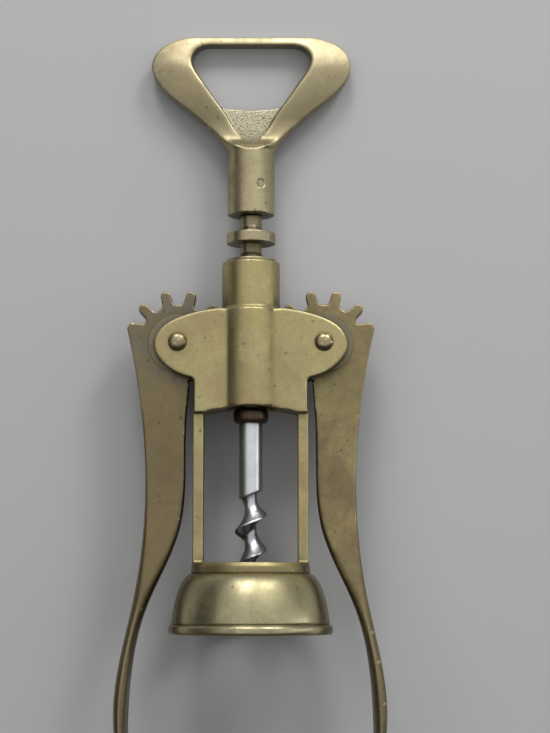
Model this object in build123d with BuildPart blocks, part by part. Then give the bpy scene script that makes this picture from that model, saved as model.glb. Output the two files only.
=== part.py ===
from build123d import *
import os
from math import pi, sqrt

# A double-lever corkscrew, in millimetres, lying on its back.
# The screw axis is the Y axis. The bell's mouth is at Y 0, the handle is towards +Y
# and +Z comes out of the front face.
# It is drawn with the levers down, so the rack stands at the top of its travel.

os.makedirs("parts", exist_ok=True)

# Bell
bell_mouth_radius = 15.5
bell_mouth_depth = 10.0
bell_height = 14.5
bell_rim_radius = 19.85
bell_rim_height = 2.3
bell_dome_radius = 19.1
bell_dome_straight = 5.0
bell_dome_lean = 0.42
bell_dome_draft = 0.09
bell_top_margin = 0.3

# Frame: foot ring, legs and gear housing
leg_outer = 14.0
leg_width = 2.6
leg_depth = 6.6
foot_height = 2.7
foot_step_width = 0.25
foot_step_height = 0.8
spigot_wall = 1.6
spigot_length = 2.2
housing_bottom = 53.3
housing_neck = 60.7
housing_set_in = 0.3
cheek_thickness = 2.8
ear_radius = 5.7
shoulder_height = 8.4
arch_rise = 1.5
arch_margin = 0.2
guide_wall = 1.0
guide_top = 90.5
bulge_proud = 0.6
bulge_round = 0.5

# Levers and their gears
pivot_y = 70.5
lever_thickness = 4.0
teeth_per_turn = 12
swing_teeth = 4
gear_pitch_radius = 12.5
gear_tip_radius = 13.2
gear_root_radius = 9.5
tooth_tip_width = 2.5
tooth_root_width = 2.6
gullet_radius = 1.1
lever_length = 100.5
lever_tip_round = 0.8
arm_depth = 6.0
paddle_depth = 14.0
paddle_length = 38.0
paddle_end = 6.0

# Rivets and washers
rivet_radius = 1.6
rivet_head_radius = 2.3
rivet_head_height = 1.2
washer_radius = 7.1
washer_thickness = 0.25

# Rack
rack_neck_radius = 2.6
ring_thickness = 2.7
ring_flare = 0.8
ring_flare_height = 1.5
rings_below_pivot = 2
rings_above_pivot = 4
rack_foot_overhang = 1.4
rack_head_overhang = 4.35

# Spindle and handle
spindle_radius = 1.65
spindle_in_handle = 12.5
spindle_in_worm = 11.5
handle_collar_height = 17.4
limb_drop = 1.6
limb_taper = 11.0
loop_thickness = 6.4
loop_height = 27.5
loop_half_width = 24.75
loop_limb_width = 10.15
loop_top_bar = 1.9
hole_lift = 0.3
lip_thickness = 2.2
lip_height = 9.9
lip_dip = 1.0
lip_spread = 0.59
pin_inset = 0.15
cross_pin_radius = 0.9
cross_pin_height = 7.2
cross_pin_turn = 25.5

# Worm
ferrule_radius = 4.3
ferrule_length = 3.6
ferrule_head_round = 0.6
ferrule_foot_round = 1.3
shank_radius = 2.8
shank_length = 21.1
shank_slant = 2.0
worm_core_radius = 1.45
worm_core_taper = 6.0
worm_blade_radius = 3.85
worm_blade_edge = 0.35
worm_blade_upper = 3.2
worm_blade_lower = 2.6
worm_blade_run_out = 0.1
worm_pitch = 8.5
worm_lead_in = 0.71
worm_hidden_turns = 0.6
worm_swell_turns = 0.6
worm_tip_y = 10.8
worm_tip_turns = 1.0
worm_tip_radius = 0.3
lock_pin_radius = 0.7

# Fits, each measured on the radius or on one side
pivot_gap = 0.05
washer_gap = 0.1
seat_gap = 0.02
guide_gap = 0.1
spindle_gap = 0.05
thrust_gap = 0.1
tooth_gap = 0.4
tooth_to_neck = 2.0
ring_to_root = 2.3
lever_to_leg = 1.0
collar_to_guide = 0.3

# Values that follow from the sizes above
tooth_angle = 360 / teeth_per_turn
rack_pitch = 2 * pi * gear_pitch_radius / teeth_per_turn
pivot_x = rack_neck_radius + tooth_to_neck + gear_tip_radius
ring_radius = pivot_x - gear_root_radius - ring_to_root
guide_radius = ring_radius + guide_gap
guide_outer = guide_radius + guide_wall
bulge_radius = guide_outer + bulge_proud
handle_collar_radius = guide_radius - collar_to_guide
half_lever = lever_thickness / 2
half_slot = half_lever + washer_gap + washer_thickness
half_housing = half_slot + cheek_thickness
slot_floor = pivot_y - gear_tip_radius - tooth_gap
shoulder_top = pivot_y + shoulder_height
leg_inner = leg_outer - leg_width
leg_middle = leg_outer - leg_width / 2
foot_radius = sqrt(leg_outer**2 + (leg_depth / 2) ** 2)
foot_top = bell_height + foot_height
spigot_radius = leg_inner + spigot_wall
housing_side = leg_outer - housing_set_in
lowest_ring = pivot_y - rings_below_pivot * rack_pitch
highest_ring = pivot_y + rings_above_pivot * rack_pitch
rack_foot = lowest_ring - ring_thickness / 2 - rack_foot_overhang
rack_head = highest_ring + ring_thickness / 2 + rack_head_overhang
handle_foot = rack_head + thrust_gap
loop_foot = handle_foot + handle_collar_height
loop_top = loop_foot + loop_height
ferrule_top = rack_foot - thrust_gap
ferrule_middle = ferrule_top - ferrule_length / 2
shank_foot = ferrule_top - shank_length
socket_foot = ferrule_top - spindle_in_worm
blade_foot = worm_core_radius / 2
spindle_top = handle_foot + spindle_in_handle
cross_pin_centre = Plane((0, handle_foot + cross_pin_height, 0), z_dir=(0, 0, 1))
cross_pin_plane = cross_pin_centre.rotated((0, cross_pin_turn, 0))
lock_pin_plane = Plane((0, ferrule_middle, 0), x_dir=(0, 1, 0), z_dir=(1, 0, 0))


def across(y):
    """A sketch plane square to the screw axis at height y, facing the handle."""
    return Plane((0, y, 0), x_dir=(1, 0, 0), z_dir=(0, 1, 0))


def blade_plane(point):
    """The sketch plane that holds the screw axis and a point of the worm's blade."""
    outwards = Vector(point.X, 0, point.Z).normalized()
    return Plane((0, point.Y, 0), x_dir=outwards, z_dir=outwards.cross(Vector(0, 1, 0)))


def blade_section(reach, share):
    """The corners of the blade's section, out to a radius, with its heights at a share of full size."""
    return (
        (blade_foot, worm_blade_upper * share),
        (reach, worm_blade_edge / 2 * share),
        (reach, -worm_blade_edge / 2 * share),
        (blade_foot, -worm_blade_lower * share),
    )


def export(part, name):
    part.label = name
    export_step(part, f"parts/{name}.step")


# The bell: a turned dome with a rounded rim, bored for the bottle's neck.
# Its ledge stops on the bottle, and its top hole takes the frame's spigot.
bell_hole_radius = spigot_radius + seat_gap
rim_round = bell_rim_height / 2
rim_middle = bell_rim_radius - rim_round
with BuildPart() as bell:
    with BuildSketch(Plane.XY):
        with BuildLine():
            Line((bell_mouth_radius, 0), (rim_middle, 0))
            ThreePointArc((rim_middle, 0), (bell_rim_radius, rim_round), (rim_middle, bell_rim_height))
            Line((rim_middle, bell_rim_height), (bell_dome_radius, bell_dome_straight))
            Spline(
                (bell_dome_radius, bell_dome_straight),
                (foot_radius + bell_top_margin, bell_height),
                tangents=[(-bell_dome_draft, 1), (-1, bell_dome_lean)],
            )
            Polyline(
                (foot_radius + bell_top_margin, bell_height),
                (bell_hole_radius, bell_height),
                (bell_hole_radius, bell_mouth_depth),
                (bell_mouth_radius, bell_mouth_depth),
                (bell_mouth_radius, 0),
            )
        make_face()
    revolve(axis=Axis.Y)
export(bell.part, "bell")

# The frame: one casting of foot ring, two legs, gear housing and rack guide.
with BuildPart() as frame:
    # The housing's outline: shoulders, ears round the pivots, and neck.
    with BuildSketch(Plane.XY):
        with BuildLine():
            Line((0, shoulder_top), (guide_outer, shoulder_top))
            Spline(
                (guide_outer, shoulder_top),
                (pivot_x - 0.1 * ear_radius, pivot_y + 1.08 * ear_radius),
                (pivot_x + 0.85 * ear_radius, pivot_y + 0.4 * ear_radius),
                (pivot_x + ear_radius, pivot_y - 0.1 * ear_radius),
                (pivot_x + 0.56 * ear_radius, pivot_y - 0.95 * ear_radius),
                (pivot_x - 0.49 * ear_radius, pivot_y - 1.51 * ear_radius),
                (housing_side, housing_neck),
                tangents=[(1, -0.1), (-0.12, -1)],
            )
            Polyline(
                (housing_side, housing_neck),
                (housing_side, housing_bottom),
                (0, housing_bottom),
                (0, shoulder_top),
            )
        make_face()
        mirror(about=Plane.YZ)
    extrude(amount=half_housing, both=True)
    # The housing bulges where the rack guide runs through it, and the guide stands above it.
    with BuildPart(mode=Mode.PRIVATE) as bulge:
        with BuildSketch(across(housing_bottom)):
            Circle(bulge_radius)
        extrude(amount=shoulder_top - housing_bottom)
        fillet(bulge.edges().group_by(Axis.Y)[-1], radius=bulge_round)
    add(bulge.part)
    with BuildSketch(across(shoulder_top - guide_wall)):
        Circle(guide_outer)
    extrude(amount=guide_top - shoulder_top + guide_wall)
    # The arch under the housing.
    with BuildSketch(Plane.XY):
        with BuildLine():
            arch_half_width = leg_inner - arch_margin
            arch = ThreePointArc(
                (-arch_half_width, housing_bottom),
                (0, housing_bottom + arch_rise),
                (arch_half_width, housing_bottom),
            )
            Line(arch @ 1, arch @ 0)
        make_face()
    extrude(amount=bulge_radius, both=True, mode=Mode.SUBTRACT)
    # The slot between the cheeks, and the two windows that it cuts in the guide's wall.
    with BuildSketch(Plane.XY):
        for side in (1, -1):
            with Locations((side * pivot_x, pivot_y)):
                Circle(gear_tip_radius + tooth_gap)
            with Locations((side * guide_outer, slot_floor)):
                Rectangle(
                    pivot_x + gear_tip_radius,
                    shoulder_top - slot_floor,
                    align=(Align.MIN if side == 1 else Align.MAX, Align.MIN),
                )
    extrude(amount=half_slot, both=True, mode=Mode.SUBTRACT)
    # Legs, foot ring and the spigot that holds the bell.
    with BuildSketch(across(bell_height)):
        with Locations((leg_middle, 0), (-leg_middle, 0)):
            Rectangle(leg_width, leg_depth)
    extrude(amount=housing_bottom - bell_height)
    with BuildSketch(Plane.XY):
        with BuildLine():
            Polyline(
                (leg_inner, bell_height - spigot_length),
                (spigot_radius, bell_height - spigot_length),
                (spigot_radius, bell_height),
                (foot_radius, bell_height),
                (foot_radius, foot_top - foot_step_height),
                (foot_radius - foot_step_width, foot_top - foot_step_height),
                (foot_radius - foot_step_width, foot_top),
                (leg_inner, foot_top),
                close=True,
            )
        make_face()
    revolve(axis=Axis.Y)
    # The bore that guides the rack, and the rivet holes through both cheeks.
    with BuildSketch(across(housing_bottom)):
        Circle(guide_radius)
    extrude(amount=guide_top - housing_bottom, mode=Mode.SUBTRACT)
    with BuildSketch(Plane.XY):
        with Locations((pivot_x, pivot_y), (-pivot_x, pivot_y)):
            Circle(rivet_radius + seat_gap)
    extrude(amount=half_housing, both=True, mode=Mode.SUBTRACT)
export(frame.part, "frame")

# The levers: a toothed sector round the pivot, and an arm that turns into a thumb paddle.
# The right one is drawn, and the left one mirrors it.
tooth_round = gear_tip_radius - tooth_tip_width / 2
tooth_foot = gear_root_radius - 1
lever_tip = pivot_y - lever_length
with BuildPart() as right_lever:
    with BuildSketch(Plane((pivot_x, pivot_y, 0))) as sector:
        Circle(gear_root_radius)
        teeth = swing_teeth + 2
        with PolarLocations(0, teeth, start_angle=1.5 * tooth_angle, angular_range=teeth * tooth_angle):
            Polygon(
                (tooth_foot, -tooth_root_width / 2),
                (tooth_round, -tooth_tip_width / 2),
                (tooth_round, tooth_tip_width / 2),
                (tooth_foot, tooth_root_width / 2),
                align=None,
            )
            with Locations((tooth_round, 0)):
                Circle(tooth_tip_width / 2)
        corners = sector.vertices()
        gullets = corners.filter_by(lambda v: abs(v.distance_to((0, 0, 0)) - gear_root_radius) < 0.01)
        fillet(gullets, radius=gullet_radius)
    extrude(amount=half_lever, both=True)
    # The arm's outline, from the shoulder behind the last tooth to the paddle's tip.
    with BuildSketch(Plane.XY):
        with BuildLine():
            shoulder = (pivot_x + 0.95 * gear_tip_radius, pivot_y + 0.29 * gear_tip_radius)
            inner_top = (leg_outer + lever_to_leg, pivot_y - 0.75 * gear_tip_radius)
            Polyline(
                inner_top,
                (pivot_x, pivot_y),
                (pivot_x + 0.62 * gear_tip_radius, pivot_y + 0.36 * gear_tip_radius),
                (pivot_x + 0.88 * gear_tip_radius, pivot_y + 0.39 * gear_tip_radius),
                shoulder,
            )
            outer = Spline(
                shoulder,
                (pivot_x + 0.735 * gear_tip_radius, pivot_y - 0.106 * lever_length),
                (pivot_x + 0.59 * gear_tip_radius, pivot_y - 0.363 * lever_length),
                (pivot_x + 0.80 * gear_tip_radius, lever_tip + 0.375 * lever_length),
                (pivot_x + 1.106 * gear_tip_radius, lever_tip + 0.159 * lever_length),
                (pivot_x + 1.023 * gear_tip_radius, lever_tip + lever_tip_round),
            )
            inner = Spline(
                inner_top,
                (1.136 * leg_outer, pivot_y - 0.259 * lever_length),
                (1.236 * leg_outer, pivot_y - 0.453 * lever_length),
                (1.807 * leg_outer, lever_tip + 0.359 * lever_length),
                (2.093 * leg_outer, lever_tip + 0.156 * lever_length),
                (pivot_x + 0.886 * gear_tip_radius, lever_tip + lever_tip_round),
            )
            ThreePointArc(
                outer @ 1,
                ((outer @ 1).X / 2 + (inner @ 1).X / 2, lever_tip),
                inner @ 1,
            )
        make_face()
    extrude(amount=paddle_depth / 2, both=True, mode=Mode.ADD)
    # Its depth: thin in the slot, a little deeper down the arm, and widest at the paddle.
    with BuildSketch(Plane.YZ):
        with BuildLine():
            slot_side = pivot_y - gear_tip_radius
            Polyline(
                (shoulder_top + gear_tip_radius, 0),
                (shoulder_top + gear_tip_radius, half_lever),
                (slot_side, half_lever),
            )
            Spline(
                (slot_side, half_lever),
                (lever_tip + 1.21 * paddle_length, arm_depth / 2),
                (lever_tip + paddle_length / 2, 0.443 * paddle_depth),
                (lever_tip + paddle_end, paddle_depth / 2),
                tangents=[(-1, 0), (-1, 0)],
            )
            Spline(
                (lever_tip + paddle_end, paddle_depth / 2),
                (lever_tip, 0),
                tangents=[(-1, 0), (0, -1)],
            )
            Line((lever_tip, 0), (shoulder_top + gear_tip_radius, 0))
        make_face()
        mirror(about=Plane.XZ)
    extrude(amount=pivot_x + lever_length, both=True, mode=Mode.INTERSECT)
    with BuildSketch(Plane.XY):
        with Locations((pivot_x, pivot_y)):
            Circle(rivet_radius + pivot_gap)
    extrude(amount=half_lever, both=True, mode=Mode.SUBTRACT)
export(right_lever.part, "right_lever")

with BuildPart() as left_lever:
    mirror(right_lever.part, about=Plane.YZ)
export(left_lever.part, "left_lever")


# A rivet: a shank through both cheeks, with a domed head on each side.
def make_rivet(x):
    with BuildPart() as rivet:
        with BuildSketch(Plane((x, pivot_y, 0), x_dir=(1, 0, 0), z_dir=(0, -1, 0))):
            with BuildLine():
                Polyline(
                    (0, 0),
                    (rivet_radius, 0),
                    (rivet_radius, half_housing),
                    (rivet_head_radius, half_housing),
                )
                Spline(
                    (rivet_head_radius, half_housing),
                    (0, half_housing + rivet_head_height),
                    tangents=[(-0.25, 1), (-1, 0)],
                )
                Line((0, half_housing + rivet_head_height), (0, 0))
            make_face()
            mirror(about=Plane.XZ)
        revolve(axis=Axis((x, pivot_y, 0), (0, 0, 1)))
    return rivet.part


# A washer: it fills the slot between one face of a lever and the cheek.
def make_washer(x, z):
    with BuildPart() as washer:
        with BuildSketch(Plane((x, pivot_y, z))):
            Circle(washer_radius)
            Circle(rivet_radius + pivot_gap, mode=Mode.SUBTRACT)
        extrude(amount=washer_thickness)
    return washer.part


for side, x in (("left", -pivot_x), ("right", pivot_x)):
    export(make_rivet(x), f"{side}_rivet")
    export(make_washer(x, half_slot - washer_thickness), f"{side}_front_washer")
    export(make_washer(x, -half_slot), f"{side}_rear_washer")

# The rack: a sleeve with a ring for each gear tooth, free to turn on the spindle.
with BuildPart() as rack_sleeve:
    with BuildSketch(Plane.XY):
        half_ring = ring_thickness / 2
        with Locations((0, rack_foot)):
            Rectangle(rack_neck_radius, rack_head - rack_foot, align=(Align.MIN, Align.MIN))
        for ring in range(-rings_below_pivot, rings_above_pivot + 1):
            ring_y = pivot_y + ring * rack_pitch
            Polygon(
                (0, ring_y + half_ring + ring_flare_height),
                (rack_neck_radius, ring_y + half_ring + ring_flare_height),
                (rack_neck_radius + ring_flare, ring_y + half_ring),
                (ring_radius, ring_y + half_ring),
                (ring_radius, ring_y - half_ring),
                (0, ring_y - half_ring),
                align=None,
            )
        with Locations((0, rack_foot)):
            Rectangle(
                spindle_radius + spindle_gap,
                rack_head - rack_foot,
                align=(Align.MIN, Align.MIN),
                mode=Mode.SUBTRACT,
            )
    revolve(axis=Axis.Y)
export(rack_sleeve.part, "rack_sleeve")

# The spindle: it runs through the rack from the handle to the worm, pinned to both.
with BuildPart() as spindle:
    with BuildSketch(across(socket_foot)):
        Circle(spindle_radius)
    extrude(amount=spindle_top - socket_foot)
    with BuildSketch(cross_pin_plane):
        Circle(cross_pin_radius + seat_gap)
    extrude(amount=handle_collar_radius, both=True, mode=Mode.SUBTRACT)
    with BuildSketch(lock_pin_plane):
        Circle(lock_pin_radius + seat_gap)
    extrude(amount=ferrule_radius, both=True, mode=Mode.SUBTRACT)
export(spindle.part, "spindle")

# The handle: an open loop on a round collar, with a recessed lip that opens crown caps.
hole_half = loop_half_width - loop_limb_width
hole_top = loop_top - loop_top_bar
hole_foot = loop_foot + hole_lift
hole_height = hole_top - hole_foot
lip_top = hole_foot + lip_height
lip_half_width = lip_spread * hole_half
with BuildPart() as handle:
    # The loop's outer form, turned round the screw axis.
    with BuildSketch(Plane.XY):
        with BuildLine():
            Line((0, loop_foot - limb_drop), (0, loop_top))
            Line((0, loop_top), (0.606 * loop_half_width, loop_top))
            Spline(
                (0.606 * loop_half_width, loop_top),
                (0.871 * loop_half_width, loop_foot + 0.924 * loop_height),
                (loop_half_width, loop_foot + 0.749 * loop_height),
                (0.861 * loop_half_width, loop_foot + 0.502 * loop_height),
                (0.634 * loop_half_width, loop_foot + 0.331 * loop_height),
                (0.416 * loop_half_width, loop_foot + 0.153 * loop_height),
                (1.328 * handle_collar_radius, loop_foot + 0.044 * loop_height),
                (handle_collar_radius, loop_foot - limb_drop),
                tangents=[(1, 0), (-0.35, -1)],
                tangent_scalars=(0.5, 0.5),
            )
            Line((handle_collar_radius, loop_foot - limb_drop), (0, loop_foot - limb_drop))
        make_face()
    revolve(axis=Axis.Y)
    # Its depth: nearly the collar's at the foot, slimmer up the limbs.
    with BuildSketch(Plane.YZ):
        with BuildLine():
            Line((loop_foot - limb_drop, 0), (loop_foot - limb_drop, handle_collar_radius))
            Spline(
                (loop_foot - limb_drop, handle_collar_radius),
                (loop_foot + limb_taper, loop_thickness / 2),
                tangents=[(0.8, -1), (1, 0)],
            )
            Polyline(
                (loop_foot + limb_taper, loop_thickness / 2),
                (loop_top, loop_thickness / 2),
                (loop_top, 0),
                (loop_foot - limb_drop, 0),
            )
        make_face()
        mirror(about=Plane.XZ)
    extrude(amount=loop_half_width, both=True, mode=Mode.INTERSECT)
    # The hole through the loop.
    with BuildSketch(Plane.XY):
        with BuildLine():
            Line((0, hole_foot), (0, hole_top))
            Line((0, hole_top), (0.724 * hole_half, hole_top))
            Spline(
                (0.724 * hole_half, hole_top),
                (0.934 * hole_half, hole_foot + 0.953 * hole_height),
                (hole_half, hole_foot + 0.818 * hole_height),
                (0.849 * hole_half, hole_foot + 0.652 * hole_height),
                (0.592 * hole_half, hole_foot + 0.435 * hole_height),
                (0.384 * hole_half, hole_foot + 0.261 * hole_height),
                (0.124 * hole_half, hole_foot + 0.043 * hole_height),
                (0, hole_foot),
                tangents=[(1, 0), (-1, 0)],
                tangent_scalars=(0.5, 0.5),
            )
        make_face()
        mirror(about=Plane.YZ)
    extrude(amount=handle_collar_radius, both=True, mode=Mode.SUBTRACT)
    # The collar, bored for the spindle.
    with BuildSketch(across(handle_foot)):
        Circle(handle_collar_radius)
    extrude(amount=handle_collar_height - limb_drop)
    with BuildSketch(across(handle_foot)):
        Circle(spindle_radius + seat_gap)
    extrude(amount=spindle_in_handle, mode=Mode.SUBTRACT)
    # The lip: a thin web in the foot of the loop, with a hollowed edge.
    with BuildSketch(Plane.XY):
        with BuildLine():
            edge = ThreePointArc(
                (-lip_half_width, lip_top),
                (0, lip_top - lip_dip),
                (lip_half_width, lip_top),
            )
            Polyline(
                edge @ 1,
                (0.55 * lip_half_width, hole_foot + 0.2 * lip_height),
                (0, hole_foot - 0.15 * lip_height),
                (-0.55 * lip_half_width, hole_foot + 0.2 * lip_height),
                edge @ 0,
            )
        make_face()
    extrude(amount=lip_thickness / 2, both=True)
    with BuildSketch(cross_pin_plane):
        Circle(cross_pin_radius + seat_gap)
    extrude(amount=handle_collar_radius, both=True, mode=Mode.SUBTRACT)
export(handle.part, "handle")

with BuildPart() as handle_cross_pin:
    with BuildSketch(cross_pin_plane):
        Circle(cross_pin_radius)
    extrude(amount=handle_collar_radius - pin_inset, both=True)
export(handle_cross_pin.part, "handle_cross_pin")

# The worm: a round shank that carries on as a slim core with a right-handed blade round it.
helix_top = shank_foot + worm_lead_in * worm_pitch
helix_height = helix_top - worm_tip_y
with BuildPart() as worm:
    with BuildSketch(across(shank_foot - shank_slant / 2)):
        Circle(shank_radius)
    extrude(amount=shank_length + shank_slant / 2)
    split(bisect_by=Plane((0, shank_foot, 0), z_dir=(-shank_slant / 2, shank_radius, 0)), keep=Keep.TOP)
    with BuildSketch(Plane.XY):
        Polygon(
            (0, shank_foot + shank_slant / 2),
            (worm_core_radius, shank_foot + shank_slant / 2),
            (worm_core_radius, worm_tip_y + worm_core_taper),
            (worm_tip_radius, worm_tip_y),
            (0, worm_tip_y),
            align=None,
        )
    revolve(axis=Axis.Y)
    helix = Helix(
        worm_pitch,
        helix_height,
        worm_blade_radius,
        center=(0, helix_top, 0),
        direction=(0, -1, 0),
        mode=Mode.PRIVATE,
    ).edge()
    # The blade swells out of the core, keeps its section, and runs out into the point.
    all_turns = helix_height / worm_pitch
    slim = (worm_core_radius, worm_blade_run_out)
    full = (worm_blade_radius, 1)
    spans = (
        (worm_hidden_turns, worm_hidden_turns + worm_swell_turns, slim, full),
        (worm_hidden_turns + worm_swell_turns, all_turns - worm_tip_turns, full, full),
        (all_turns - worm_tip_turns, all_turns, full, slim),
    )
    for start, end, first_size, last_size in spans:
        path = helix.trim(start / all_turns, end / all_turns)
        with BuildSketch(blade_plane(path @ 0)):
            Polygon(*blade_section(*first_size), align=None)
        with BuildSketch(blade_plane(path @ 1)):
            Polygon(*blade_section(*last_size), align=None)
        sweep(path=path, multisection=True, is_frenet=True)
    # The socket for the spindle, and the lock pin's hole.
    with BuildSketch(across(socket_foot)):
        Circle(spindle_radius + seat_gap)
    extrude(amount=spindle_in_worm, mode=Mode.SUBTRACT)
    with BuildSketch(lock_pin_plane):
        Circle(lock_pin_radius + seat_gap)
    extrude(amount=ferrule_radius, both=True, mode=Mode.SUBTRACT)
export(worm.part, "worm")

# The ferrule: it joins worm and spindle, and carries the rack's pull.
with BuildPart() as worm_ferrule:
    with BuildSketch(across(ferrule_top - ferrule_length)):
        Circle(ferrule_radius)
        Circle(shank_radius + seat_gap, mode=Mode.SUBTRACT)
    extrude(amount=ferrule_length)
    outer_wall = worm_ferrule.faces().filter_by(GeomType.CYLINDER).sort_by(SortBy.RADIUS)[-1]
    foot_edge, head_edge = outer_wall.edges().filter_by(GeomType.CIRCLE).sort_by(Axis.Y)
    fillet(foot_edge, radius=ferrule_foot_round)
    fillet(head_edge, radius=ferrule_head_round)
    with BuildSketch(lock_pin_plane):
        Circle(lock_pin_radius + seat_gap)
    extrude(amount=ferrule_radius, both=True, mode=Mode.SUBTRACT)
export(worm_ferrule.part, "worm_ferrule")

with BuildPart() as worm_lock_pin:
    with BuildSketch(lock_pin_plane):
        Circle(lock_pin_radius)
    extrude(amount=ferrule_radius - pin_inset, both=True)
export(worm_lock_pin.part, "worm_lock_pin")
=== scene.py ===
import math

import bmesh
import bpy
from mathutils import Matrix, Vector, kdtree


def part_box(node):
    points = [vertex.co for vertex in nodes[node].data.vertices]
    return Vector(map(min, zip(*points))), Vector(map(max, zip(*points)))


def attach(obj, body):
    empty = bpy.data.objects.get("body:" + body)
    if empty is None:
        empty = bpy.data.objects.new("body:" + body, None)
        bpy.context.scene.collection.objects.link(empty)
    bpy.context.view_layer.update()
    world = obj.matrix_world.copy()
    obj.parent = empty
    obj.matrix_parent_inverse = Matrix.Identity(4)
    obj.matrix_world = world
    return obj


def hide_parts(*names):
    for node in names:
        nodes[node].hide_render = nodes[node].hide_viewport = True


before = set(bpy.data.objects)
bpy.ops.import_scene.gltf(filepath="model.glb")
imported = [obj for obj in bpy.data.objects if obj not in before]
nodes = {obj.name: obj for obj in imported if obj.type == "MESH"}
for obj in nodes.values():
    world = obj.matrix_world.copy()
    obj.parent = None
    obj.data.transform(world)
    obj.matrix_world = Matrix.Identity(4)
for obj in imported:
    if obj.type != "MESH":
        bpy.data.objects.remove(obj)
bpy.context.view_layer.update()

MM = 0.001

# The corkscrew rests on its bell's rim and on its handle. So the floor, and the camera that
# looks straight down on it, lean against the screw axis by this angle.
LEAN = math.radians(6.8)
VIEW_CENTRE = Vector((5.9, 65.0, 0.0)) * MM
CAMERA_DISTANCE = 457 * MM
LENS_MM = 91.6
UP = Vector((0, -math.sin(LEAN), math.cos(LEAN)))


# Mesh helpers

# Named lengths are in millimetres, and in Blender's metres once they are multiplied by MM.
WELD_REACH = 0.002
CAST_CELL = 0.24
RACK_CELL = 0.15
# The share of the way to its neighbours' middle that a round of smoothing moves a point
SMOOTHING = 0.5
# Edges of turned pieces that are sharper than this, in degrees, stay crisp.
CRISP_ANGLE = 50
# Side walls are where the normal's part along Z is smaller than this.
WALL_LEAN = 0.5


def link(name, mesh):
    piece = bpy.data.objects.new(name, mesh)
    bpy.context.scene.collection.objects.link(piece)
    return piece


def shade_smooth(piece, angle=None):
    """Smooth shading, with edges sharper than angle left crisp."""
    mesh = piece.data
    mesh.polygons.foreach_set("use_smooth", [True] * len(mesh.polygons))
    if angle is not None:
        mesh.set_sharp_from_angle(angle=math.radians(angle))
    mesh.update()


def bake_modifiers(piece):
    """Applies the piece's modifiers to its mesh."""
    bpy.context.view_layer.update()
    evaluated = piece.evaluated_get(bpy.context.evaluated_depsgraph_get())
    mesh = bpy.data.meshes.new_from_object(evaluated)
    piece.modifiers.clear()
    old = piece.data
    piece.data = mesh
    bpy.data.meshes.remove(old)


def softened(node, name, cell, rounds):
    """A copy of a CAD node with its edges worn round, as on a polished casting."""
    piece = link(name, nodes[node].data.copy())
    piece.data.materials.clear()
    weld = piece.modifiers.new("weld", "WELD")
    weld.merge_threshold = WELD_REACH * MM
    remesh = piece.modifiers.new("remesh", "REMESH")
    remesh.mode = "VOXEL"
    remesh.voxel_size = cell * MM
    smooth = piece.modifiers.new("smooth", "SMOOTH")
    smooth.factor = SMOOTHING
    smooth.iterations = rounds
    bake_modifiers(piece)
    shade_smooth(piece)
    return piece


def relax(piece, rounds, share=None):
    """Smooths a piece. share says how much at a point in millimetres, and is left out for all of it."""
    smooth = piece.modifiers.new("relax", "SMOOTH")
    smooth.factor = SMOOTHING
    smooth.iterations = rounds
    if share is not None:
        group = piece.vertex_groups.new(name="relax")
        for vertex in piece.data.vertices:
            weight = share(vertex.co / MM)
            if weight > 0:
                group.add([vertex.index], weight, "REPLACE")
        smooth.vertex_group = group.name
    bake_modifiers(piece)
    piece.vertex_groups.clear()
    shade_smooth(piece)


def spot_round_axis(work, radius, height, turn):
    """A new point at a radius, height and turn round the screw axis."""
    return work.verts.new(Vector((radius * math.cos(turn), height, radius * math.sin(turn))) * MM)


def finished_mesh(work, name):
    """Turns a worked mesh into a piece, with its faces outwards and its sharp edges crisp."""
    bmesh.ops.recalc_face_normals(work, faces=work.faces)
    mesh = bpy.data.meshes.new(name)
    work.to_mesh(mesh)
    work.free()
    piece = link(name, mesh)
    shade_smooth(piece, CRISP_ANGLE)
    return piece


def lathe(name, profile, segments):
    """A turned piece: profile is a closed loop of (radius, height) points round the screw axis."""
    work = bmesh.new()
    turns = [2 * math.pi * step / segments for step in range(segments)]
    rings = [[spot_round_axis(work, radius, height, turn) for turn in turns] for radius, height in profile]
    for low, high in zip(rings, rings[1:] + rings[:1]):
        for step in range(segments):
            after = (step + 1) % segments
            work.faces.new((low[step], low[after], high[after], high[step]))
    return finished_mesh(work, name)


def rounded(profile, radii, steps=5):
    """The profile with its corners rounded: radii gives each point's radius, 0 for a sharp one."""
    points = []
    count = len(profile)
    for index, (corner, radius) in enumerate(zip(profile, radii)):
        here = Vector(corner)
        if radius <= 0:
            points.append(tuple(here))
            continue
        before = (Vector(profile[index - 1]) - here).normalized()
        after = (Vector(profile[(index + 1) % count]) - here).normalized()
        half = before.angle(after) / 2
        reach = radius / math.tan(half)
        middle = here + (before + after).normalized() * (radius / math.sin(half))
        first = here + before * reach - middle
        last = here + after * reach - middle
        turn = first.angle_signed(last)
        for step in range(steps + 1):
            angle = -turn * (step / steps)
            spun = Vector((
                first.x * math.cos(angle) - first.y * math.sin(angle),
                first.x * math.sin(angle) + first.y * math.cos(angle),
            ))
            points.append(tuple(middle + spun))
    return points


def bead(radius, depth, foot, head, squareness=0.72, steps=10):
    """The outline of a band that bulges out to a radius, from its foot to its head."""
    points = []
    for step in range(-steps, steps + 1):
        turn = math.pi / 2 * step / steps
        out = math.cos(turn) ** squareness if abs(step) < steps else 0
        up = math.copysign(abs(math.sin(turn)) ** squareness, turn)
        points.append((radius - depth + depth * out, (foot + head) / 2 + (head - foot) / 2 * up))
    return points


def rim_tree(piece, lowest, wanted):
    """The side walls above a height, for finding how far a point of a face lies from its rim."""
    spots = [
        vertex.co for vertex in piece.data.vertices
        if abs(vertex.normal.z) < WALL_LEAN and abs(vertex.co.z) > lowest * MM and wanted(vertex)
    ]
    tree = kdtree.KDTree(len(spots))
    for index, spot in enumerate(spots):
        tree.insert((spot.x, spot.y, 0), index)
    tree.balance()
    return tree


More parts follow.
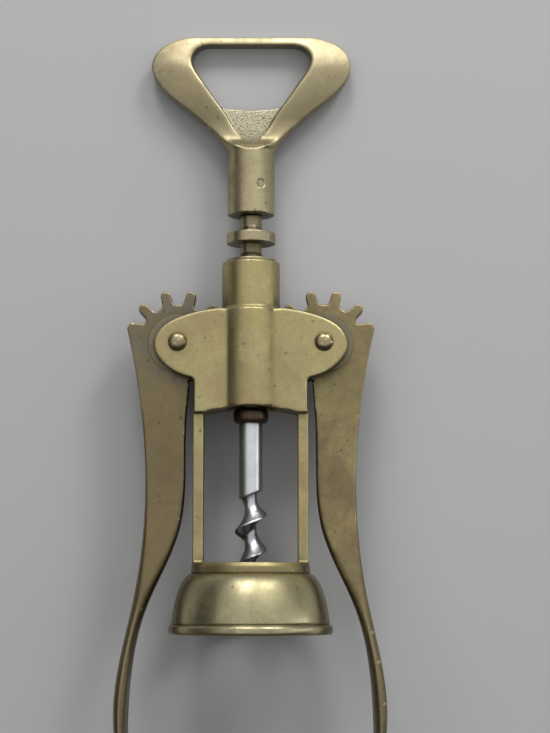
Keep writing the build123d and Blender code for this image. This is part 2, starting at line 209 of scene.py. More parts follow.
def fall(tree, spot, width, power=None):
    """0 on the inner side of the rounding, 1 at the rim: a round shoulder, or a bow of the given power."""
    inset = tree.find((spot.x, spot.y, 0))[2] / MM
    near = 1 - min(inset / width, 1)
    if power is not None:
        return near ** power
    return 1 - math.sqrt(1 - near ** 2)


def keep_inside(piece, node):
    """Holds a piece's points inside the box of the CAD node that it replaces."""
    low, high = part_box(node)
    for vertex in piece.data.vertices:
        for axis in range(3):
            vertex.co[axis] = min(max(vertex.co[axis], low[axis]), high[axis])


def place(piece, body, material, node):
    """Puts a piece in the place of its CAD node, on the node's body and in its material slot."""
    keep_inside(piece, node)
    piece.data.materials.clear()
    piece.data.materials.append(material)
    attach(piece, body)
    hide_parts(node)


def dress(node, material):
    """Gives a CAD node that stays its material."""
    mesh = nodes[node].data
    mesh.materials.clear()
    mesh.materials.append(material)


# Materials

class Recipe:
    """A material: nodes are added step by step, then joined to the shader."""

    def __init__(self, name):
        self.material = bpy.data.materials.new(name)
        self.material.use_nodes = True
        self.tree = self.material.node_tree
        self.shader = self.tree.nodes["Principled BSDF"]
        self.place = self.tree.nodes.new("ShaderNodeTexCoord").outputs["Object"]

    def node(self, kind, **inputs):
        made = self.tree.nodes.new(kind)
        for key, value in inputs.items():
            made.inputs[key.replace("_", " ")].default_value = value
        return made

    def link(self, source, target):
        self.tree.links.new(source, target)

    def noise(self, scale, detail=4.0, roughness=0.55, distortion=0.0, stretch=None):
        """A noise from 0 to 1; stretch says how close it lies along each axis."""
        vector = self.place
        if stretch is not None:
            mapping = self.node("ShaderNodeMapping", Scale=stretch)
            self.link(self.place, mapping.inputs["Vector"])
            vector = mapping.outputs["Vector"]
        made = self.node(
            "ShaderNodeTexNoise", Scale=scale, Detail=detail, Roughness=roughness, Distortion=distortion
        )
        self.link(vector, made.inputs["Vector"])
        return made.outputs["Fac"]

    def ramp(self, source, low, high, start=0.0, end=1.0):
        made = self.node("ShaderNodeMapRange", From_Min=low, From_Max=high, To_Min=start, To_Max=end)
        self.link(source, made.inputs["Value"])
        return made.outputs["Result"]

    def patches(self, low, high, scale=1.0, **grain):
        """1 in the patches of a noise, 0 between them; the edge runs from low to high."""
        return self.ramp(self.noise(scale, **grain), low, high)

    def math(self, operation, first, second=0.0):
        made = self.tree.nodes.new("ShaderNodeMath")
        made.operation = operation
        for socket, value in zip(made.inputs, (first, second)):
            if isinstance(value, (int, float)):
                socket.default_value = value
            else:
                self.link(value, socket)
        return made.outputs["Value"]

    def times(self, first, second):
        return self.math("MULTIPLY", first, second)

    def blend(self, share, under, over):
        made = self.tree.nodes.new("ShaderNodeMix")
        made.data_type = "RGBA"
        self.link(share, made.inputs["Factor"])
        for key, value in (("A", under), ("B", over)):
            socket = [s for s in made.inputs if s.name == key and s.type == "RGBA"][0]
            if isinstance(value, tuple):
                socket.default_value = (*value, 1.0)
            else:
                self.link(value, socket)
        return [s for s in made.outputs if s.type == "RGBA"][0]

    def cover(self, under, over, where, strength):
        """Lays one colour over another where it is wanted, as thick as its strength."""
        return self.blend(self.times(where, strength), under, over)

    def bump(self, height, strength, distance, below=None):
        made = self.node("ShaderNodeBump", Strength=strength, Distance=distance * MM)
        self.link(height, made.inputs["Height"])
        if below is not None:
            self.link(below.outputs["Normal"], made.inputs["Normal"])
        return made

    def worn_edge(self):
        """1 on sharp edges that stand out, 0 on faces."""
        pointiness = self.tree.nodes.new("ShaderNodeNewGeometry").outputs["Pointiness"]
        return self.ramp(pointiness, *WORN_EDGE)

    def hollow(self, reach, shut_share, open_share):
        """1 where no more than the shut share of the sky within reach is open, 0 from the open share. The
        materials darken by it, as painted shade.
        """
        made = self.node("ShaderNodeAmbientOcclusion", Distance=reach * MM)
        made.samples = HOLLOW_SAMPLES
        return self.math("SUBTRACT", 1.0, self.ramp(made.outputs["AO"], shut_share, open_share))

    def along(self, letter):
        """How far a point lies along the X, Y or Z axis."""
        split = self.tree.nodes.new("ShaderNodeSeparateXYZ")
        self.link(self.place, split.inputs["Vector"])
        return split.outputs[letter]

    def near_plane(self, half):
        """1 where the surface lies within half a thickness of the middle plane, else 0."""
        height = self.math("ABSOLUTE", self.along("Z"))
        return self.ramp(height, (half + WEB_FADE) * MM, half * MM)

    def leftward(self, right):
        """1 left of the screw axis, and the given share right of it."""
        return self.ramp(self.along("X"), MIDDLE_FADE * MM, -MIDDLE_FADE * MM, right, 1)

    def across(self, middle, half):
        """1 at a distance right of the screw axis, fading out on both sides."""
        off = self.math("ABSOLUTE", self.math("SUBTRACT", self.along("X"), middle * MM))
        return self.ramp(off, half * MM, 0)

    def height(self, start, end):
        """0 at the start height along the screw axis, 1 at the end height."""
        return self.ramp(self.along("Y"), start * MM, end * MM)

    def round_patch(self, spot, near, far):
        """1 within near of a spot on either side of the screw axis, 0 beyond far."""
        across = self.math("SUBTRACT", self.math("ABSOLUTE", self.along("X")), spot[0] * MM)
        along = self.math("SUBTRACT", self.along("Y"), spot[1] * MM)
        squares = self.math("ADD", self.math("POWER", across, 2.0), self.math("POWER", along, 2.0))
        return self.ramp(self.math("SQRT", squares), far * MM, near * MM)


def tinted(colour, tint):
    return tuple(channel * share for channel, share in zip(colour, tint))


# How much the layers on old brass hide of what is below them, 0 to 1
VERDIGRIS_STRENGTH = 0.55
RUDDY_STRENGTH = 0.45
MOTTLE_STRENGTH = 0.36
STREAK_STRENGTH = 0.30
SPECK_STRENGTH = 0.26
# Painted shade: the dark streak up the housing's bulge
CREASE_SHADE_STRENGTH = 0.85
# Painted shade: the left lever darkened all over
LEFT_SHADE_STRENGTH = 0.68
HUB_STRENGTH = 0.85
WEB_STRENGTH = 0.85
WORN_STRENGTH = 0.65
SPOT_STRENGTH = 0.55
# Painted shade: the darkening in wide hollows, where the floor and neighbouring parts shut out the sky
WIDE_SHADE_STRENGTH = 0.74

# The tints are multiplied with the colour of a metal's body or tarnish.
VERDIGRIS_TINT = (0.88, 0.97, 0.78)
RUDDY_TINT = (0.92, 0.76, 0.62)
# Darkens a metal for its dark specks and for the painted shade in its hollows
DIRT_AND_SHADE_TINT = (0.22, 0.22, 0.22)
WEB_PALE = (0.72, 0.68, 0.52)
HUB_GREY = (0.215, 0.205, 0.165)

# Pointiness of a face's edge where the rubbing starts and where it is full
WORN_EDGE = (0.515, 0.56)

# Hollows: how far they are looked for, and the open shares of the sky at which their darkening is full and at
# which it ends. Close hollows darken as soiling and painted shade; the wide ones and the steel's darken as
# painted shade, where the floor and neighbouring parts shut out the sky.
HOLLOW_SAMPLES = 8
CLOSE_HOLLOW = (1.6, 0.30, 0.92)
WIDE_SHADE_HOLLOW = (60, 0.30, 0.97)
STEEL_SHADED_HOLLOW = (60, 0.54, 0.86)

# Roughness that is added between the patches of a noise and in them
CLOUD_ROUGH = (-0.03, 0.08)
MOTTLE_ROUGH = (-0.04, 0.05)
CLOSE_ROUGH = 0.2
WEB_ROUGH = 0.14

# How close the marks of the brush or the lathe lie along each axis
CAST_GRAIN = (900, 160, 900)
TURNED_GRAIN = (110, 1500, 110)
DRAWN_GRAIN = (1800, 120, 1800)
STREAK_GRAIN = (520, 60, 520)
RUDDY_GRAIN = (1, 0.6, 1)

# Bands of brown along the screw axis: start, full, start of the end, end, and strength
HANDLE_BROWN = (118.5, 125.0, 129.0, 140.0, 0.80)
FOOT_BROWN = (13.0, 14.0, 16.3, 17.1, 0.75)
PADDLE_BROWN = (-80.0, -60.0, -6.0, 26.0, 0.95)

# Painted shade: the dark streak up the right edge of the housing's bulge, where its flank turns from the
# light: middle, half width, and how its ends fade
CREASE_SHADE = (5.1, 1.7)
CREASE_SHADE_FOOT = (53, 56)
CREASE_SHADE_HEAD = (80, 78)

# The patchy grey ring round a gear's hub, of which the right lever has the given share
PIVOT = (17.8, 70.5)
HUB_NEAR = 9.0
HUB_FAR = 13.5
HUB_RIGHT = 0.10
MIDDLE_FADE = 2

# The web in the foot of the handle's loop: its half thickness, and where its look ends beyond it
WEB_FACE = 1.1
WEB_FADE = 0.25


def aged_metal(
    name, body, tarnish, worn,
    rough=0.40, clouding=0.6, close_dirt_and_shade=0.8, grain=CAST_GRAIN, web=None, hub=None, brown=None, crease_shade=None,
):
    """Old brass: tarnish clouds it, soiling and painted shade darken its close hollows, painted shade darkens
    what faces the floor or a neighbouring part, and its edges are rubbed bright.

    clouding and close_dirt_and_shade say how strong the clouds and the soiling and painted shade in close
    hollows are.
    grain is how close the brush or turning marks lie along each axis.
    web is the half thickness of a flat web with a stippled, matt cast face, where a piece has one.
    hub is the spot round which a lever's gear is greyed in a patchy ring. The left lever is darker all over,
    as painted shade.
    brown is the band of heights, faded in and out, along which a piece is darkened towards its tarnish
    colour.
    crease_shade is the middle and half width of a streak of painted shade up the housing.
    """
    r = Recipe(name)
    clouds = r.patches(0.40, 0.62, scale=85, detail=7, roughness=0.62, distortion=0.5)
    green = r.patches(0.50, 0.66, scale=55, detail=5, roughness=0.6, distortion=1.0)
    mottle = r.patches(0.35, 0.70, scale=420, detail=5, roughness=0.7)
    spots = r.patches(0.685, 0.73, scale=760, detail=2, roughness=0.5)
    ruddy = r.patches(0.52, 0.68, scale=47, detail=5, roughness=0.65, distortion=0.8, stretch=RUDDY_GRAIN)
    streaks = r.patches(0.52, 0.74, detail=3, roughness=0.6, stretch=STREAK_GRAIN)
    specks = r.patches(0.36, 0.66, scale=1500, detail=2, roughness=0.6)
    tone = r.cover(body, tarnish, clouds, clouding)
    tone = r.cover(tone, tinted(body, VERDIGRIS_TINT), green, VERDIGRIS_STRENGTH)
    tone = r.cover(tone, tinted(body, RUDDY_TINT), ruddy, RUDDY_STRENGTH)
    tone = r.cover(tone, tarnish, mottle, MOTTLE_STRENGTH)
    tone = r.cover(tone, tarnish, streaks, STREAK_STRENGTH)
    tone = r.cover(tone, tarnish, specks, SPECK_STRENGTH)
    if brown is not None:
        low, full, fading, high, strength = brown
        tone = r.cover(tone, tarnish, r.times(r.height(low, full), r.height(high, fading)), strength)
    # Painted shade: a dark streak up the right edge of the housing's bulge, where its flank turns from the
    # light
    if crease_shade is not None:
        length = r.times(r.height(*CREASE_SHADE_FOOT), r.height(*CREASE_SHADE_HEAD))
        tone = r.cover(tone, tarnish, r.times(r.across(*crease_shade), length), CREASE_SHADE_STRENGTH)
    if hub is not None:
        patchy = r.patches(0.40, 0.56, scale=240, detail=5, roughness=0.7)
        ring = r.times(r.times(r.round_patch(hub, HUB_NEAR, HUB_FAR), patchy), r.leftward(HUB_RIGHT))
        # Painted shade: the left lever is darkened all over, as light falls from the right
        tone = r.cover(tone, tarnish, r.leftward(0), LEFT_SHADE_STRENGTH)
        tone = r.cover(tone, HUB_GREY, ring, HUB_STRENGTH)
    if web is not None:
        inside = r.near_plane(web)
        stipple = r.noise(2600, detail=1.5, roughness=0.5)
        pale = r.blend(r.ramp(stipple, 0.34, 0.56), tarnish, WEB_PALE)
        tone = r.cover(tone, pale, inside, WEB_STRENGTH)
    tone = r.cover(tone, worn, r.worn_edge(), WORN_STRENGTH)
    # The darkened tarnish colour serves the dark specks and the painted shade in hollows
    dirt_and_shade = tinted(tarnish, DIRT_AND_SHADE_TINT)
    tone = r.cover(tone, dirt_and_shade, spots, SPOT_STRENGTH)
    # Painted shade: close hollows, which also take soiling, and wide hollows darken where the floor and
    # neighbouring parts shut out the sky
    close = r.hollow(*CLOSE_HOLLOW)
    wide = r.hollow(*WIDE_SHADE_HOLLOW)
    dirt_and_shade_mask = r.math("MAXIMUM", r.times(close, close_dirt_and_shade), r.times(wide, WIDE_SHADE_STRENGTH))
    tone = r.blend(dirt_and_shade_mask, tone, dirt_and_shade)
    r.link(tone, r.shader.inputs["Base Color"])
    r.shader.inputs["Metallic"].default_value = 1.0

    cloudy = r.ramp(clouds, 0, 1, rough + CLOUD_ROUGH[0], rough + CLOUD_ROUGH[1])
    gloss = r.math("ADD", cloudy, r.times(close, CLOSE_ROUGH))
    gloss = r.math("ADD", gloss, r.ramp(mottle, 0, 1, *MOTTLE_ROUGH))
    waves = r.bump(r.noise(150, detail=3), strength=0.25, distance=0.20)
    pits = r.bump(r.noise(1900, detail=3, roughness=0.6), strength=0.22, distance=0.04, below=waves)
    brushed = r.noise(1.0, detail=4, roughness=0.65, stretch=grain)
    skin = r.bump(brushed, strength=0.22, distance=0.02, below=pits)
    if web is not None:
        skin = r.bump(r.times(stipple, inside), strength=1.0, distance=0.13, below=skin)
        gloss = r.math("ADD", gloss, r.times(inside, WEB_ROUGH))
    r.link(gloss, r.shader.inputs["Roughness"])
    r.link(skin.outputs["Normal"], r.shader.inputs["Normal"])
    return r.material


STEEL_SHADE = (0.55, 0.55, 0.55)
STEEL_SHADE_STRENGTH = 0.35
# Painted shade on steel, where the floor and neighbouring parts shut out the sky
STEEL_PAINTED_SHADE = (0.12, 0.12, 0.12)
STEEL_PAINTED_SHADE_STRENGTH = 0.92
DRAWN_ROUGH = (-0.05, 0.08)


def steel(name, colour, rough):
    """Drawn steel with faint lengthwise marks and dull patches, darkened as painted shade where the floor and
    neighbouring parts shut out the sky.
    """
    r = Recipe(name)
    shade = r.patches(0.35, 0.75, scale=300, detail=5)
    tone = r.cover(colour, tinted(colour, STEEL_SHADE), shade, STEEL_SHADE_STRENGTH)
    # Painted shade: the steel darkens where the floor and neighbouring parts shut out the sky, most on its
    # flanks
    tone = r.cover(tone, tinted(colour, STEEL_PAINTED_SHADE), r.hollow(*STEEL_SHADED_HOLLOW), STEEL_PAINTED_SHADE_STRENGTH)
    r.link(tone, r.shader.inputs["Base Color"])
    drawn = r.noise(1.0, detail=4, stretch=DRAWN_GRAIN)
    gloss = r.ramp(drawn, 0.3, 0.7, rough + DRAWN_ROUGH[0], rough + DRAWN_ROUGH[1])
    r.link(gloss, r.shader.inputs["Roughness"])
    r.shader.inputs["Metallic"].default_value = 1.0
    skin = r.bump(drawn, strength=0.25, distance=0.02)
    r.link(skin.outputs["Normal"], r.shader.inputs["Normal"])
    return r.material


FRAME_BRASS = aged_metal(
    "frame_brass", body=(0.60, 0.515, 0.26), tarnish=(0.36, 0.29, 0.15), worn=(0.67, 0.61, 0.42),
    brown=FOOT_BROWN, crease_shade=CREASE_SHADE,
)
BELL_BRASS = aged_metal(
    "bell_brass", body=(0.57, 0.51, 0.31), tarnish=(0.31, 0.27, 0.155), worn=(0.67, 0.63, 0.45),
    rough=0.34, clouding=0.75, close_dirt_and_shade=0.3, grain=TURNED_GRAIN,
)
LEVER_BRASS = aged_metal(
    "lever_brass", body=(0.43, 0.35, 0.175), tarnish=(0.21, 0.165, 0.095), worn=(0.58, 0.51, 0.34),
    clouding=0.8, hub=PIVOT, brown=PADDLE_BROWN,
)
HANDLE_BRASS = aged_metal(
    "handle_brass", body=(0.61, 0.53, 0.33), tarnish=(0.34, 0.285, 0.17), worn=(0.69, 0.64, 0.48),
    web=WEB_FACE, brown=HANDLE_BROWN,
)
RACK_BRASS = aged_metal(
    "rack_brass", body=(0.60, 0.52, 0.33), tarnish=(0.34, 0.28, 0.16), worn=(0.69, 0.63, 0.47),
    rough=0.36, grain=TURNED_GRAIN,
)
RIVET_BRASS = aged_metal(
    "rivet_brass", body=(0.47, 0.40, 0.23), tarnish=(0.28, 0.23, 0.13), worn=(0.60, 0.54, 0.38), rough=0.30,
)
# The washers are tarnished dark, and made darker still as painted shade for the shade between lever and cheek
WASHER_SHADED_BRASS = aged_metal(
    "washer_brass", body=(0.27, 0.235, 0.16), tarnish=(0.17, 0.145, 0.10), worn=(0.34, 0.30, 0.20),
)
# Painted shade: the ferrule's colours are darkened for the shade it lies in under the housing
FERRULE_SHADED_COPPER = aged_metal(
    "ferrule_copper", body=(0.20, 0.145, 0.10), tarnish=(0.11, 0.075, 0.05), worn=(0.34, 0.26, 0.18),
)
WORM_STEEL = steel("worm_steel", (0.88, 0.91, 0.94), rough=0.34)
SPINDLE_STEEL = steel("spindle_steel", (0.48, 0.48, 0.47), rough=0.32)
PIN_STEEL = steel("pin_steel", (0.46, 0.39, 0.24), rough=0.44)


# The frame: the CAD casting with worn edges, and its bulge run softly into the cheeks

HOUSING_FOOT = 54.5
HOUSING_HEAD = 78.9
HOUSING_MARGIN = 1
CHEEK_FACE = 5.15
CHEEK_EDGE_DEPTH = 1.3
CHEEK_EDGE_FROM = 2
CHEEK_EDGE_FADE = 1.5
BULGE_EDGE = 5.7
BULGE_DEPTH = 0.6
BULGE_BLEND = 2.8


def beside_bulge(point):
    """1 in the crease between the bulge and a cheek, fading out on both sides."""
    if abs(point.z) < CHEEK_FACE - BULGE_DEPTH or not HOUSING_FOOT < point.y < HOUSING_HEAD:
        return 0
    return max(0, 1 - abs(abs(point.x) - BULGE_EDGE) / BULGE_BLEND)


def at_cheek_edge(point):
    """1 round the outline of a cheek, whose edges are worn rounder than the rest."""
    if abs(point.z) <= CHEEK_FACE - CHEEK_EDGE_DEPTH:
        return 0
    if not HOUSING_FOOT - HOUSING_MARGIN < point.y < HOUSING_HEAD + HOUSING_MARGIN:
        return 0
    return min(max((abs(point.x) - BULGE_EDGE - CHEEK_EDGE_FROM) / CHEEK_EDGE_FADE, 0), 1)


def make_frame():
    piece = softened("frame", "cast_frame", CAST_CELL, rounds=4)
    relax(piece, 14, at_cheek_edge)
    relax(piece, 60, beside_bulge)
    place(piece, "body", FRAME_BRASS, "frame")


# The bell: turned, with a squarish band at its rim and a groove above that

MOUTH_RADIUS = 15.5
MOUTH_DEPTH = 10.0
MOUTH_ROUND = 0.4
LEDGE_ROUND = 0.3
HOLE_RADIUS = 13.02
RIM_RADIUS = 19.84
RIM_HEIGHT = 2.3
RIM_DEPTH = 0.8
GROOVE = 0.15
DOME_RADIUS = 19.1
DOME_FOOT = 2.6
DOME_TOP = 14.5
DOME_DRAFT = 0.35
DOME_RISE = 4.6
SHOULDER_WIDTH = 2.5
SHOULDER_DROP = 1.1
TOP_RADIUS = 14.68
DOME_STEPS = 24
BELL_SEGMENTS = 192


def dome_outline():
    """One smooth curve from the groove over the shoulder to the bell's top."""
    foot = Vector((DOME_RADIUS, DOME_FOOT))
    side = Vector((DOME_RADIUS - DOME_DRAFT, DOME_FOOT + DOME_RISE))
    shoulder = Vector((TOP_RADIUS + SHOULDER_WIDTH, DOME_TOP - SHOULDER_DROP))
    top = Vector((TOP_RADIUS, DOME_TOP))
    points = []
    for step in range(DOME_STEPS + 1):
        t = step / DOME_STEPS
        points.append(tuple(
            foot * (1 - t) ** 3 + side * 3 * t * (1 - t) ** 2 + shoulder * 3 * t * t * (1 - t) + top * t ** 3
        ))
    return points


def make_bell():
    rim = bead(RIM_RADIUS, RIM_DEPTH, 0, RIM_HEIGHT)
    groove = [(DOME_RADIUS - GROOVE, RIM_HEIGHT + GROOVE)]
    inside = rounded(
        [(HOLE_RADIUS, DOME_TOP), (HOLE_RADIUS, MOUTH_DEPTH), (MOUTH_RADIUS, MOUTH_DEPTH), (MOUTH_RADIUS, 0)],
        [0, LEDGE_ROUND, LEDGE_ROUND, MOUTH_ROUND],
    )
    piece = lathe("turned_bell", rim + groove + dome_outline() + inside, BELL_SEGMENTS)
    place(piece, "body", BELL_BRASS, "bell")


# The handle: domed limbs that fall away outwards from the hole's crisp rim, and a stippled web

# Half thicknesses end in TOP, FACE or FROM. Widths and shares say how the limbs are domed.
LOOP_CENTRE = Vector((0, 137.0, 0)) * MM
WEB_TOP = WEB_FACE + 0.2
WALL_FROM = WEB_TOP + 0.3
FACE_FROM = WEB_TOP + 0.4
OUTER_WIDTH = 9.5
OUTER_SHARE = 0.88
OUTER_POWER = 2.0
INNER_WIDTH = 1.7
INNER_SHARE = 0.40
ROUND_FROM = 119.5
ROUND_TO = 126.0
LIMB_FACE = 3.25
STEP_FROM = 119.4
STEP_LENGTH = 2.6
CRISP_RIM = 1.2


def outwards(vertex):
    """Over 0 on the loop's outer wall, below 0 on the hole's wall."""
    return vertex.normal.dot(vertex.co - LOOP_CENTRE)


def on_loop(vertex):
    return vertex.co.y > ROUND_FROM * MM


def limb_height(spot, outer, inner):
    """The height of a point of the handle's faces once the limbs are domed and stepped."""
    height = abs(spot.z) / MM
    y = spot.y / MM
    above = height - LIMB_FACE
    if above > 0 and spot.y > STEP_FROM * MM:
        along = min((y - STEP_FROM) / STEP_LENGTH, 1)
        height = LIMB_FACE + above * (1 - along * along * (3 - 2 * along))
    proud = height - WEB_TOP
    if proud <= 0 or spot.y < ROUND_FROM * MM:
        return height
    fade = min((y - ROUND_FROM) / (ROUND_TO - ROUND_FROM), 1)
    proud *= 1 - fade * OUTER_SHARE * fall(outer, spot, OUTER_WIDTH, OUTER_POWER)
    proud *= 1 - fade * INNER_SHARE * fall(inner, spot, INNER_WIDTH)
    return WEB_TOP + proud


def make_handle():
    piece = softened("handle", "cast_handle", CAST_CELL, rounds=3)
    outer = rim_tree(piece, WALL_FROM, lambda vertex: on_loop(vertex) and outwards(vertex) > 0)
    inner = rim_tree(piece, WALL_FROM, lambda vertex: on_loop(vertex) and outwards(vertex) < 0)
    for vertex in piece.data.vertices:
        spot = vertex.co
        spot.z = math.copysign(limb_height(spot, outer, inner) * MM, spot.z)
    relax(piece, 4)

    def off_the_hole(point):
        """1 on the limbs' faces, 0 beside the hole's rim, which stays crisp."""
        if abs(point.z) < FACE_FROM or point.y < ROUND_FROM:
            return 0
        return min(max(inner.find((point.x * MM, point.y * MM, 0))[2] / MM - CRISP_RIM, 0), 1)

    relax(piece, 70, off_the_hole)
    place(piece, "screw", HANDLE_BRASS, "handle")


# The worm: a shank, a slim core and a blade that winds round it

SHANK_RADIUS = 2.8
SHANK_SLANT = 2.0
SHANK_FOOT = 33.46
SHANK_TOP = 54.56
SHANK_EDGE = 0.25
SOCKET_RADIUS = 1.52
SOCKET_FOOT = 43.06
CORE_RADIUS = 1.45
CORE_TOP = 35.4
BLADE_RADIUS = 3.84
BLADE_PITCH = 8.5
BLADE_TOP = 45.87
BLADE_START = 34.4
BLADE_FULL = 29.3
BLADE_LAND = 0.15
BLADE_UPPER = 4.2
BLADE_LOWER = 2.2
BLADE_HOLLOW = 1.7
POINT_START = 19.0
POINT_Y = 10.8
POINT_BLUNTNESS = 0.6
WORM_COLUMNS = 96
WORM_ROWS = 56
WORM_TURNS = 4.3
WORM_MERGE = 0.001


def blade_height(offset):
    """The blade's height over the core, 0 to 1, at a distance above (+) or below its edge."""
    reach = BLADE_UPPER if offset > 0 else BLADE_LOWER
    return (1 - min(max(abs(offset) - BLADE_LAND, 0) / reach, 1)) ** BLADE_HOLLOW


def worm_radius(y, offset):
    """The radius at a height: the blade swells below the shank, and all of it tapers to the point."""
    swell = min(max((BLADE_START - y) / (BLADE_START - BLADE_FULL), 0), 1)
    point = min(max((y - POINT_Y) / (POINT_START - POINT_Y), 0), 1) ** POINT_BLUNTNESS
    return point * (CORE_RADIUS + (BLADE_RADIUS - CORE_RADIUS) * blade_height(offset) * swell)


def add_blade(work, turns):
    """Core and blade, as columns of points whose rows follow the blade round."""
    columns = []
    for column, turn in enumerate(turns):
        spots = []
        for row in range(int(WORM_TURNS * WORM_ROWS)):
            y = BLADE_TOP - (row / WORM_ROWS + column / WORM_COLUMNS) * BLADE_PITCH
            offset = -((row / WORM_ROWS + 0.5) % 1 - 0.5) * BLADE_PITCH
            radius = worm_radius(y, offset) if y < CORE_TOP else 0
            spots.append(spot_round_axis(work, radius, min(max(y, POINT_Y), CORE_TOP), turn))
        columns.append(spots)
    # A whole turn later a row has come down by one pitch.
    columns.append(columns[0][WORM_ROWS:])
    for here, after in zip(columns, columns[1:]):
        for row in range(len(after) - 1):
            work.faces.new((here[row], here[row + 1], after[row + 1], after[row]))


def add_shank(work, turns):
    """The shank with its slanted foot and the socket for the spindle, as rings of points."""
    wall = (
        (SHANK_RADIUS - SHANK_EDGE, SHANK_FOOT, SHANK_SLANT / 2),
        (SHANK_RADIUS, SHANK_FOOT + SHANK_EDGE, SHANK_SLANT / 2),
        (SHANK_RADIUS, SHANK_FOOT + 0.6, SHANK_SLANT / 2),
        (SHANK_RADIUS, SHANK_FOOT + 1.2, SHANK_SLANT / 3),
        (SHANK_RADIUS, SHANK_FOOT + 2.0, 0),
        (SHANK_RADIUS, SHANK_FOOT + 3.0, 0),
        (SHANK_RADIUS, SHANK_TOP - 1.0, 0),
        (SHANK_RADIUS, SHANK_TOP, 0),
        (SOCKET_RADIUS, SHANK_TOP, 0),
        (SOCKET_RADIUS, SOCKET_FOOT, 0),
    )
    rings = []
    for radius, y, slant in wall:
        rings.append([spot_round_axis(work, radius, y + slant * math.cos(turn), turn) for turn in turns])
    for low, high in zip(rings, rings[1:]):
        for column in range(WORM_COLUMNS):
            work.faces.new((low[column - 1], low[column], high[column], high[column - 1]))
    work.faces.new(rings[0])
    work.faces.new(rings[-1])


def make_worm():
    work = bmesh.new()
    turns = [2 * math.pi * column / WORM_COLUMNS for column in range(WORM_COLUMNS)]
    add_blade(work, turns)
    add_shank(work, turns)
    bmesh.ops.remove_doubles(work, verts=work.verts, dist=WORM_MERGE * MM)
    piece = finished_mesh(work, "bladed_worm")
    place(piece, "screw", WORM_STEEL, "worm")


# The levers: edges slightly eased down to the arm's middle, and fully round along the paddle

# How wide and how deep the edges are rounded, at two heights along the lever
EASED_Y = 38.0
EASED_WIDTH = 0.8
EASED_DROP = 0.45
ROUND_Y = 8.0
ROUND_WIDTH = 2.2
ROUND_DROP = 1.9
# The rounding starts below this height and is full after the fade.
EASE_FROM = 55
EASE_FADE = 3
WALLS_BELOW = 56
LEVER_WALL_FROM = 0.4
MIDDLE_LAYER = 0.01
MOST_DROP = 0.65


def lever_squeeze(spot, height, rims):
    """How much of its height a point of a lever loses to the rounding."""
    y = spot.y / MM
    down = min(max((EASED_Y - y) / (EASED_Y - ROUND_Y), 0), 1)
    width = EASED_WIDTH + down * (ROUND_WIDTH - EASED_WIDTH)
    drop = EASED_DROP + down * (ROUND_DROP - EASED_DROP)
    fade = min((EASE_FROM - y) / EASE_FADE, 1)
    return fade * min(drop / height, MOST_DROP) * fall(rims, spot, width)


def make_levers():
    for side in ("left", "right"):
        piece = softened(f"{side}_lever", f"{side}_wing", CAST_CELL, rounds=4)
        rims = rim_tree(piece, LEVER_WALL_FROM, lambda vertex: vertex.co.y < WALLS_BELOW * MM)
        for vertex in piece.data.vertices:
            spot = vertex.co
            height = abs(spot.z) / MM
            if height >= MIDDLE_LAYER and spot.y <= EASE_FROM * MM:
                spot.z *= 1 - lever_squeeze(spot, height, rims)
        relax(piece, 4)
        place(piece, f"lever_{side}", LEVER_BRASS, f"{side}_lever")
        dress(f"{side}_rivet", RIVET_BRASS)
        dress(f"{side}_front_washer", WASHER_SHADED_BRASS)
        dress(f"{side}_rear_washer", WASHER_SHADED_BRASS)


# The rack with worn edges, the domed ferrule, and the spindle and pins as the CAD has them

FERRULE_RADIUS = 4.29
FERRULE_DEPTH = 1.25
FERRULE_BORE = 2.83
FERRULE_FOOT = 50.97
FERRULE_TOP = 54.55
FERRULE_SEGMENTS = 96


def make_rack():
    piece = softened("rack_sleeve", "ringed_rack", RACK_CELL, rounds=7)
    place(piece, "rack", RACK_BRASS, "rack_sleeve")


def make_ferrule():
    band = bead(FERRULE_RADIUS, FERRULE_DEPTH, FERRULE_FOOT, FERRULE_TOP)
    outline = [(FERRULE_BORE, FERRULE_FOOT)] + band + [(FERRULE_BORE, FERRULE_TOP)]
    piece = lathe("domed_ferrule", outline, FERRULE_SEGMENTS)
    place(piece, "screw", FERRULE_SHADED_COPPER, "worm_ferrule")


def dress_spindle_and_pins():
    dress("spindle", SPINDLE_STEEL)
    dress("handle_cross_pin", PIN_STEEL)
    dress("worm_lock_pin", PIN_STEEL)


# The floor, the light and the camera

FLOOR_COLOUR = (0.60, 0.60, 0.60, 1)
FLOOR_ROUGH = 0.9
FLOOR_HALF = 3000 * MM
FLOOR_GAP = 0.05 * MM
TOUCH_Y = 1.0 * MM
WORLD_COLOUR = (0.96, 0.98, 1.0, 1)
WORLD_GLOW = 0.05
SENSOR_MM = 36


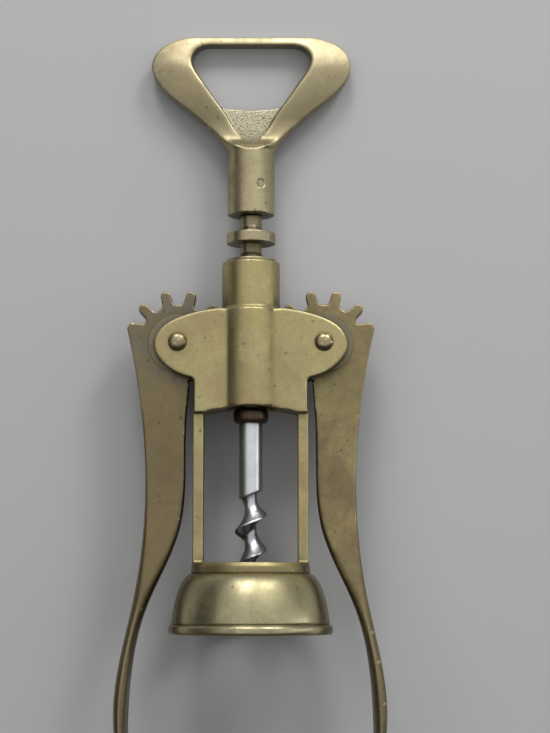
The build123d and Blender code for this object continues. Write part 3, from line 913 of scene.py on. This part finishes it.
def make_floor():
    touch = Vector((0, TOUCH_Y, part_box("bell")[0].z))
    across = Vector((1, 0, 0))
    along = UP.cross(across)
    corners = []
    for right, up in ((-1, -1), (1, -1), (1, 1), (-1, 1)):
        corner = touch + across * right * FLOOR_HALF + along * up * FLOOR_HALF
        corners.append(tuple(corner - UP * FLOOR_GAP))
    mesh = bpy.data.meshes.new("floor")
    mesh.from_pydata(corners, [], [(0, 1, 2, 3)])
    floor = link("floor", mesh)
    r = Recipe("floor_matte")
    r.shader.inputs["Base Color"].default_value = FLOOR_COLOUR
    r.shader.inputs["Roughness"].default_value = FLOOR_ROUGH
    mesh.materials.append(r.material)


def soft_box(name, spot, size, glow, flat=False):
    """A soft box that faces the corkscrew, or straight down.

    spot and size are in metres, and glow is its brightness, whatever its size.
    """
    data = bpy.data.lights.new(name, "AREA")
    data.shape = "RECTANGLE"
    data.size, data.size_y = size
    data.energy = glow * math.pi * size[0] * size[1]
    lamp = bpy.data.objects.new(name, data)
    lamp.location = spot
    if not flat:
        lamp.rotation_euler = (VIEW_CENTRE - Vector(spot)).to_track_quat("-Z", "Y").to_euler()
    bpy.context.scene.collection.objects.link(lamp)


def make_light():
    world = bpy.data.worlds.new("studio")
    world.use_nodes = True
    sky = world.node_tree.nodes["Background"]
    sky.inputs["Color"].default_value = WORLD_COLOUR
    sky.inputs["Strength"].default_value = WORLD_GLOW
    bpy.context.scene.world = world
    soft_box("ceiling", spot=(0.9, 1.65, 1.0), size=(4.2, 4.0), glow=0.62, flat=True)
    soft_box("left_window", spot=(-0.13, 1.0, 0.76), size=(0.34, 0.44), glow=8.5)
    soft_box("right_window", spot=(0.55, 0.95, 0.72), size=(0.26, 0.36), glow=14.0)
    soft_box("side_strip", spot=(1.0, 0.1, 0.15), size=(0.05, 0.6), glow=8.0)


def make_camera():
    data = bpy.data.cameras.new("photo_view")
    data.sensor_width = SENSOR_MM
    data.lens = LENS_MM
    camera = bpy.data.objects.new("photo_view", data)
    camera.location = VIEW_CENTRE + UP * CAMERA_DISTANCE
    camera.rotation_euler = (-UP).to_track_quat("-Z", "Y").to_euler()
    bpy.context.scene.collection.objects.link(camera)
    bpy.context.scene.camera = camera


make_frame()
make_bell()
make_handle()
make_worm()
make_levers()
make_rack()
make_ferrule()
dress_spindle_and_pins()
make_floor()
make_light()
make_camera()
bpy.context.scene.view_settings.view_transform = "Standard"
